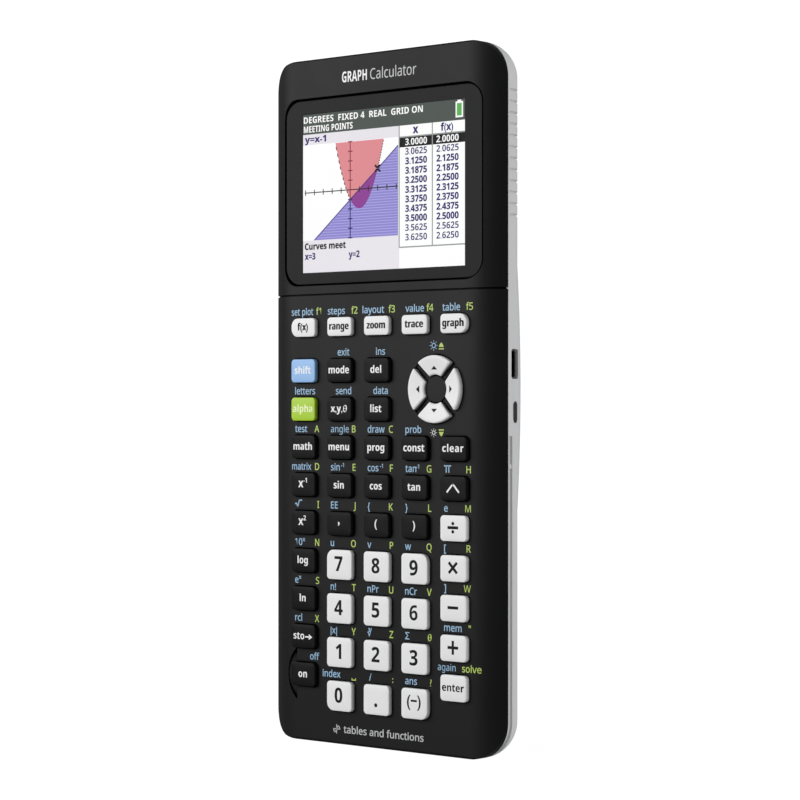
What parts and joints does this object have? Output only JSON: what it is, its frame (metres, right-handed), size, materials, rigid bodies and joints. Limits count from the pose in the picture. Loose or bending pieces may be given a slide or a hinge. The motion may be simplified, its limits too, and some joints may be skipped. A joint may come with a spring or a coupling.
{
  "type": "graphing calculator",
  "caption": "Handheld graphing calculator with a colour screen window, a full pad of travelling keys, a round arrow pad and a light rear case with grip grooves.",
  "frame": {"origin": "on the plane that the feet rest on, under the centre of the body", "axes": "+X to the right of the keys, +Y along the length towards the screen end, +Z out of the key face; the calculator lies flat on its back"},
  "size_m": [0.0834, 0.1904, 0.0172],
  "materials": {
    "front_plastic": "fine satin texture",
    "rear_plastic": "smooth light grey, semi-gloss",
    "window": "clear with a dark printed border",
    "display": "metal tray with a glass panel",
    "membrane": "moulded silicone",
    "board": "solder-masked circuit board",
    "battery": "wrapped cell",
    "screw_steel": "zinc-plated",
    "reset": "moulded",
    "key_white": "satin moulded",
    "key_black": "satin moulded",
    "key_blue": "satin moulded",
    "key_green": "satin moulded"
  },
  "bodies": {
    "case": {"front_case": "front_plastic", "rear_case": "rear_plastic", "screen_window": "window", "display_module": "display", "keypad_membrane": "membrane", "main_board": "board", "battery_pack": "battery", "battery_cover": "rear_plastic", "screws": "screw_steel"},
    "key_fx": {"key_fx": "key_white"},
    "key_range": {"key_range": "key_white"},
    "key_zoom": {"key_zoom": "key_white"},
    "key_trace": {"key_trace": "key_white"},
    "key_graph": {"key_graph": "key_white"},
    "key_divide": {"key_divide": "key_white"},
    "key_multiply": {"key_multiply": "key_white"},
    "key_subtract": {"key_subtract": "key_white"},
    "key_add": {"key_add": "key_white"},
    "key_enter": {"key_enter": "key_white"},
    "key_0": {"key_0": "key_white"},
    "key_1": {"key_1": "key_white"},
    "key_2": {"key_2": "key_white"},
    "key_3": {"key_3": "key_white"},
    "key_4": {"key_4": "key_white"},
    "key_5": {"key_5": "key_white"},
    "key_6": {"key_6": "key_white"},
    "key_7": {"key_7": "key_white"},
    "key_8": {"key_8": "key_white"},
    "key_9": {"key_9": "key_white"},
    "key_point": {"key_point": "key_white"},
    "key_negative": {"key_negative": "key_white"},
    "arrow_right": {"arrow_right": "key_white"},
    "arrow_up": {"arrow_up": "key_white"},
    "arrow_left": {"arrow_left": "key_white"},
    "arrow_down": {"arrow_down": "key_white"},
    "key_mode": {"key_mode": "key_black"},
    "key_delete": {"key_delete": "key_black"},
    "key_variable": {"key_variable": "key_black"},
    "key_list": {"key_list": "key_black"},
    "key_math": {"key_math": "key_black"},
    "key_menu": {"key_menu": "key_black"},
    "key_program": {"key_program": "key_black"},
    "key_constants": {"key_constants": "key_black"},
    "key_clear": {"key_clear": "key_black"},
    "key_inverse": {"key_inverse": "key_black"},
    "key_sine": {"key_sine": "key_black"},
    "key_cosine": {"key_cosine": "key_black"},
    "key_tangent": {"key_tangent": "key_black"},
    "key_power": {"key_power": "key_black"},
    "key_square": {"key_square": "key_black"},
    "key_comma": {"key_comma": "key_black"},
    "key_open_bracket": {"key_open_bracket": "key_black"},
    "key_close_bracket": {"key_close_bracket": "key_black"},
    "key_log": {"key_log": "key_black"},
    "key_ln": {"key_ln": "key_black"},
    "key_store": {"key_store": "key_black"},
    "key_on": {"key_on": "key_black"},
    "key_shift": {"key_shift": "key_blue"},
    "key_alpha": {"key_alpha": "key_green"},
    "reset_button": {"reset_button": "reset"}
  },
  "joints": [
    {"name": "key_fx_press", "type": "slide", "parent": "case", "child": "key_fx", "axis": [0, 0, -1], "range_m": [0, 0.001], "stiffness_N_per_m": 100, "deforming": ["keypad_membrane"]},
    {"name": "key_range_press", "type": "slide", "parent": "case", "child": "key_range", "axis": [0, 0, -1], "range_m": [0, 0.001], "stiffness_N_per_m": 100, "deforming": ["keypad_membrane"]},
    {"name": "key_zoom_press", "type": "slide", "parent": "case", "child": "key_zoom", "axis": [0, 0, -1], "range_m": [0, 0.001], "stiffness_N_per_m": 100, "deforming": ["keypad_membrane"]},
    {"name": "key_trace_press", "type": "slide", "parent": "case", "child": "key_trace", "axis": [0, 0, -1], "range_m": [0, 0.001], "stiffness_N_per_m": 100, "deforming": ["keypad_membrane"]},
    {"name": "key_graph_press", "type": "slide", "parent": "case", "child": "key_graph", "axis": [0, 0, -1], "range_m": [0, 0.001], "stiffness_N_per_m": 100, "deforming": ["keypad_membrane"]},
    {"name": "key_divide_press", "type": "slide", "parent": "case", "child": "key_divide", "axis": [0, 0, -1], "range_m": [0, 0.001], "stiffness_N_per_m": 100, "deforming": ["keypad_membrane"]},
    {"name": "key_multiply_press", "type": "slide", "parent": "case", "child": "key_multiply", "axis": [0, 0, -1], "range_m": [0, 0.001], "stiffness_N_per_m": 100, "deforming": ["keypad_membrane"]},
    {"name": "key_subtract_press", "type": "slide", "parent": "case", "child": "key_subtract", "axis": [0, 0, -1], "range_m": [0, 0.001], "stiffness_N_per_m": 100, "deforming": ["keypad_membrane"]},
    {"name": "key_add_press", "type": "slide", "parent": "case", "child": "key_add", "axis": [0, 0, -1], "range_m": [0, 0.001], "stiffness_N_per_m": 100, "deforming": ["keypad_membrane"]},
    {"name": "key_enter_press", "type": "slide", "parent": "case", "child": "key_enter", "axis": [0, 0, -1], "range_m": [0, 0.001], "stiffness_N_per_m": 100, "deforming": ["keypad_membrane"]},
    {"name": "key_0_press", "type": "slide", "parent": "case", "child": "key_0", "axis": [0, 0, -1], "range_m": [0, 0.001], "stiffness_N_per_m": 100, "deforming": ["keypad_membrane"]},
    {"name": "key_1_press", "type": "slide", "parent": "case", "child": "key_1", "axis": [0, 0, -1], "range_m": [0, 0.001], "stiffness_N_per_m": 100, "deforming": ["keypad_membrane"]},
    {"name": "key_2_press", "type": "slide", "parent": "case", "child": "key_2", "axis": [0, 0, -1], "range_m": [0, 0.001], "stiffness_N_per_m": 100, "deforming": ["keypad_membrane"]},
    {"name": "key_3_press", "type": "slide", "parent": "case", "child": "key_3", "axis": [0, 0, -1], "range_m": [0, 0.001], "stiffness_N_per_m": 100, "deforming": ["keypad_membrane"]},
    {"name": "key_4_press", "type": "slide", "parent": "case", "child": "key_4", "axis": [0, 0, -1], "range_m": [0, 0.001], "stiffness_N_per_m": 100, "deforming": ["keypad_membrane"]},
    {"name": "key_5_press", "type": "slide", "parent": "case", "child": "key_5", "axis": [0, 0, -1], "range_m": [0, 0.001], "stiffness_N_per_m": 100, "deforming": ["keypad_membrane"]},
    {"name": "key_6_press", "type": "slide", "parent": "case", "child": "key_6", "axis": [0, 0, -1], "range_m": [0, 0.001], "stiffness_N_per_m": 100, "deforming": ["keypad_membrane"]},
    {"name": "key_7_press", "type": "slide", "parent": "case", "child": "key_7", "axis": [0, 0, -1], "range_m": [0, 0.001], "stiffness_N_per_m": 100, "deforming": ["keypad_membrane"]},
    {"name": "key_8_press", "type": "slide", "parent": "case", "child": "key_8", "axis": [0, 0, -1], "range_m": [0, 0.001], "stiffness_N_per_m": 100, "deforming": ["keypad_membrane"]},
    {"name": "key_9_press", "type": "slide", "parent": "case", "child": "key_9", "axis": [0, 0, -1], "range_m": [0, 0.001], "stiffness_N_per_m": 100, "deforming": ["keypad_membrane"]},
    {"name": "key_point_press", "type": "slide", "parent": "case", "child": "key_point", "axis": [0, 0, -1], "range_m": [0, 0.001], "stiffness_N_per_m": 100, "deforming": ["keypad_membrane"]},
    {"name": "key_negative_press", "type": "slide", "parent": "case", "child": "key_negative", "axis": [0, 0, -1], "range_m": [0, 0.001], "stiffness_N_per_m": 100, "deforming": ["keypad_membrane"]},
    {"name": "arrow_right_press", "type": "slide", "parent": "case", "child": "arrow_right", "axis": [0, 0, -1], "range_m": [0, 0.001], "stiffness_N_per_m": 100, "deforming": ["keypad_membrane"]},
    {"name": "arrow_up_press", "type": "slide", "parent": "case", "child": "arrow_up", "axis": [0, 0, -1], "range_m": [0, 0.001], "stiffness_N_per_m": 100, "deforming": ["keypad_membrane"]},
    {"name": "arrow_left_press", "type": "slide", "parent": "case", "child": "arrow_left", "axis": [0, 0, -1], "range_m": [0, 0.001], "stiffness_N_per_m": 100, "deforming": ["keypad_membrane"]},
    {"name": "arrow_down_press", "type": "slide", "parent": "case", "child": "arrow_down", "axis": [0, 0, -1], "range_m": [0, 0.001], "stiffness_N_per_m": 100, "deforming": ["keypad_membrane"]},
    {"name": "key_mode_press", "type": "slide", "parent": "case", "child": "key_mode", "axis": [0, 0, -1], "range_m": [0, 0.001], "stiffness_N_per_m": 100, "deforming": ["keypad_membrane"]},
    {"name": "key_delete_press", "type": "slide", "parent": "case", "child": "key_delete", "axis": [0, 0, -1], "range_m": [0, 0.001], "stiffness_N_per_m": 100, "deforming": ["keypad_membrane"]},
    {"name": "key_variable_press", "type": "slide", "parent": "case", "child": "key_variable", "axis": [0, 0, -1], "range_m": [0, 0.001], "stiffness_N_per_m": 100, "deforming": ["keypad_membrane"]},
    {"name": "key_list_press", "type": "slide", "parent": "case", "child": "key_list", "axis": [0, 0, -1], "range_m": [0, 0.001], "stiffness_N_per_m": 100, "deforming": ["keypad_membrane"]},
    {"name": "key_math_press", "type": "slide", "parent": "case", "child": "key_math", "axis": [0, 0, -1], "range_m": [0, 0.001], "stiffness_N_per_m": 100, "deforming": ["keypad_membrane"]},
    {"name": "key_menu_press", "type": "slide", "parent": "case", "child": "key_menu", "axis": [0, 0, -1], "range_m": [0, 0.001], "stiffness_N_per_m": 100, "deforming": ["keypad_membrane"]},
    {"name": "key_program_press", "type": "slide", "parent": "case", "child": "key_program", "axis": [0, 0, -1], "range_m": [0, 0.001], "stiffness_N_per_m": 100, "deforming": ["keypad_membrane"]},
    {"name": "key_constants_press", "type": "slide", "parent": "case", "child": "key_constants", "axis": [0, 0, -1], "range_m": [0, 0.001], "stiffness_N_per_m": 100, "deforming": ["keypad_membrane"]},
    {"name": "key_clear_press", "type": "slide", "parent": "case", "child": "key_clear", "axis": [0, 0, -1], "range_m": [0, 0.001], "stiffness_N_per_m": 100, "deforming": ["keypad_membrane"]},
    {"name": "key_inverse_press", "type": "slide", "parent": "case", "child": "key_inverse", "axis": [0, 0, -1], "range_m": [0, 0.001], "stiffness_N_per_m": 100, "deforming": ["keypad_membrane"]},
    {"name": "key_sine_press", "type": "slide", "parent": "case", "child": "key_sine", "axis": [0, 0, -1], "range_m": [0, 0.001], "stiffness_N_per_m": 100, "deforming": ["keypad_membrane"]},
    {"name": "key_cosine_press", "type": "slide", "parent": "case", "child": "key_cosine", "axis": [0, 0, -1], "range_m": [0, 0.001], "stiffness_N_per_m": 100, "deforming": ["keypad_membrane"]},
    {"name": "key_tangent_press", "type": "slide", "parent": "case", "child": "key_tangent", "axis": [0, 0, -1], "range_m": [0, 0.001], "stiffness_N_per_m": 100, "deforming": ["keypad_membrane"]},
    {"name": "key_power_press", "type": "slide", "parent": "case", "child": "key_power", "axis": [0, 0, -1], "range_m": [0, 0.001], "stiffness_N_per_m": 100, "deforming": ["keypad_membrane"]},
    {"name": "key_square_press", "type": "slide", "parent": "case", "child": "key_square", "axis": [0, 0, -1], "range_m": [0, 0.001], "stiffness_N_per_m": 100, "deforming": ["keypad_membrane"]},
    {"name": "key_comma_press", "type": "slide", "parent": "case", "child": "key_comma", "axis": [0, 0, -1], "range_m": [0, 0.001], "stiffness_N_per_m": 100, "deforming": ["keypad_membrane"]},
    {"name": "key_open_bracket_press", "type": "slide", "parent": "case", "child": "key_open_bracket", "axis": [0, 0, -1], "range_m": [0, 0.001], "stiffness_N_per_m": 100, "deforming": ["keypad_membrane"]},
    {"name": "key_close_bracket_press", "type": "slide", "parent": "case", "child": "key_close_bracket", "axis": [0, 0, -1], "range_m": [0, 0.001], "stiffness_N_per_m": 100, "deforming": ["keypad_membrane"]},
    {"name": "key_log_press", "type": "slide", "parent": "case", "child": "key_log", "axis": [0, 0, -1], "range_m": [0, 0.001], "stiffness_N_per_m": 100, "deforming": ["keypad_membrane"]},
    {"name": "key_ln_press", "type": "slide", "parent": "case", "child": "key_ln", "axis": [0, 0, -1], "range_m": [0, 0.001], "stiffness_N_per_m": 100, "deforming": ["keypad_membrane"]},
    {"name": "key_store_press", "type": "slide", "parent": "case", "child": "key_store", "axis": [0, 0, -1], "range_m": [0, 0.001], "stiffness_N_per_m": 100, "deforming": ["keypad_membrane"]},
    {"name": "key_on_press", "type": "slide", "parent": "case", "child": "key_on", "axis": [0, 0, -1], "range_m": [0, 0.001], "stiffness_N_per_m": 100, "deforming": ["keypad_membrane"]},
    {"name": "key_shift_press", "type": "slide", "parent": "case", "child": "key_shift", "axis": [0, 0, -1], "range_m": [0, 0.001], "stiffness_N_per_m": 100, "deforming": ["keypad_membrane"]},
    {"name": "key_alpha_press", "type": "slide", "parent": "case", "child": "key_alpha", "axis": [0, 0, -1], "range_m": [0, 0.001], "stiffness_N_per_m": 100, "deforming": ["keypad_membrane"]},
    {"name": "reset_press", "type": "slide", "parent": "case", "child": "reset_button", "axis": [0, 0, 1], "range_m": [0, 0.0006], "stiffness_N_per_m": 50}
  ]
}
